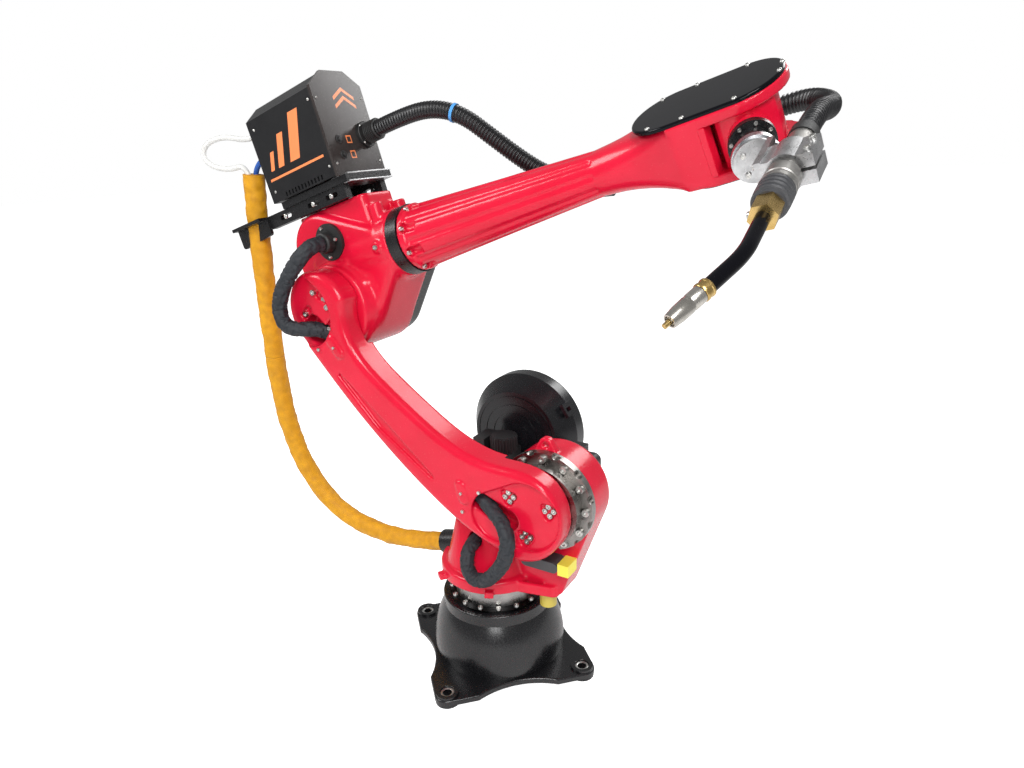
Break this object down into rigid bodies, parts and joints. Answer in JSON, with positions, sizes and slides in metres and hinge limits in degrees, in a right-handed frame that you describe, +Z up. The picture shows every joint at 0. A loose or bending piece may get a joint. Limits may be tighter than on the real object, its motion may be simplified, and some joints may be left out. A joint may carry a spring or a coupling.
{
  "type": "industrial robot arm",
  "caption": "Jointed welding robot arm on a round-belled base, with a wire feeder on its elbow, a wire drum on its turret and a bent-neck torch on its wrist.",
  "frame": {"origin": "on the floor under the base plate, on the turning axis of the turret", "axes": "+Z up, +X the way the arm points, -Y the side the lower arm sits on"},
  "size_m": [1.1709, 0.6259, 1.1378],
  "materials": {
    "red_paint": "glossy",
    "black_casting": "satin",
    "machined_steel": "turned",
    "motor_black": "matte",
    "drum_plastic": "glossy",
    "yellow_buffer": "satin",
    "feeder_black": "satin",
    "feeder_panel_grey": "glossy",
    "bare_aluminium": "milled",
    "cover_black": "glossy",
    "rubber_black": "matte",
    "torch_metal": "cast",
    "brass": "satin",
    "nozzle_steel": "satin",
    "conduit_yellow": "woven",
    "sleeve_grey": "woven",
    "hose_black": "ribbed",
    "tube_white": "braided",
    "tube_blue": "smooth"
  },
  "bodies": {
    "base": {"base_casting": "black_casting", "j1_reducer_ring": "machined_steel"},
    "turret": {"turret_casting": "red_paint", "j2_reducer_ring": "machined_steel", "j2_motor": "motor_black", "j1_motor": "motor_black", "wire_drum": "drum_plastic", "drum_lid": "drum_plastic", "drum_clasp": "drum_plastic", "drum_stay": "black_casting", "j1_stop_pin": "yellow_buffer", "j2_stop_arm": "black_casting", "j2_stop_block": "yellow_buffer", "conduit_clamp": "black_casting", "conduit_lower": "conduit_yellow", "sleeve_lower": "sleeve_grey"},
    "lower_arm": {"lower_arm_casting": "red_paint"},
    "elbow": {"elbow_casting": "red_paint", "elbow_rear_cover": "black_casting", "sleeve_gland": "rubber_black", "forearm_collar": "black_casting", "feeder_rail_near": "black_casting", "feeder_rail_far": "black_casting", "feeder_plate": "bare_aluminium", "feeder_case": "feeder_black", "feeder_panel": "feeder_panel_grey", "hose_fitting": "rubber_black", "gas_fitting": "brass", "conduit_bracket": "black_casting", "conduit_upper": "conduit_yellow", "sleeve_upper": "sleeve_grey", "hose_feeder": "hose_black", "gas_tube": "tube_white", "wire_tube": "tube_blue"},
    "forearm": {"forearm_casting": "red_paint", "wrist_cover_upper": "cover_black", "wrist_cover_lower": "cover_black", "hose_clip": "black_casting", "hose_forearm": "hose_black"},
    "wrist": {"wrist_housing": "red_paint", "wrist_ring": "black_casting", "hose_wrist": "hose_black"},
    "tool": {"tool_spacer": "black_casting", "tool_flange": "bare_aluminium", "torch_bracket": "bare_aluminium", "torch_clamp": "bare_aluminium", "torch_body": "torch_metal", "torch_nut": "brass", "torch_neck": "rubber_black", "neck_ring": "brass", "torch_nozzle": "nozzle_steel", "contact_tip": "brass", "hose_boot": "rubber_black", "hose_torch": "hose_black"}
  },
  "joints": [
    {"name": "j1_turn", "type": "hinge", "parent": "base", "child": "turret", "pos_m": [0, 0, 0], "axis": [0, 0, 1], "range_deg": [-165, 165]},
    {"name": "j2_swing", "type": "hinge", "parent": "turret", "child": "lower_arm", "pos_m": [0.15, 0, 0.419], "axis": [0, 1, 0], "range_deg": [-11.7, 138.3], "deforming": ["conduit_lower", "sleeve_lower"]},
    {"name": "j3_lift", "type": "hinge", "parent": "lower_arm", "child": "elbow", "pos_m": [-0.27975, 0, 0.73933], "axis": [0, -1, 0], "range_deg": [-20, 130], "deforming": ["conduit_upper", "sleeve_upper", "conduit_lower"]},
    {"name": "j4_roll", "type": "hinge", "parent": "elbow", "child": "forearm", "pos_m": [-0.30098, 0, 0.81334], "axis": [0.9613, 0, 0.2756], "range_deg": [-150, 150], "deforming": ["hose_feeder"]},
    {"name": "j5_bend", "type": "hinge", "parent": "forearm", "child": "wrist", "pos_m": [0.43535, 0, 1.02448], "axis": [-0.2506, -0.4163, 0.874], "range_deg": [-18, 172], "deforming": ["hose_wrist"]},
    {"name": "j6_turn", "type": "hinge", "parent": "wrist", "child": "tool", "pos_m": [0.43535, 0, 1.02448], "axis": [0.328, -0.8859, -0.3279], "range_deg": [-170, 170], "deforming": ["hose_torch"]}
  ]
}
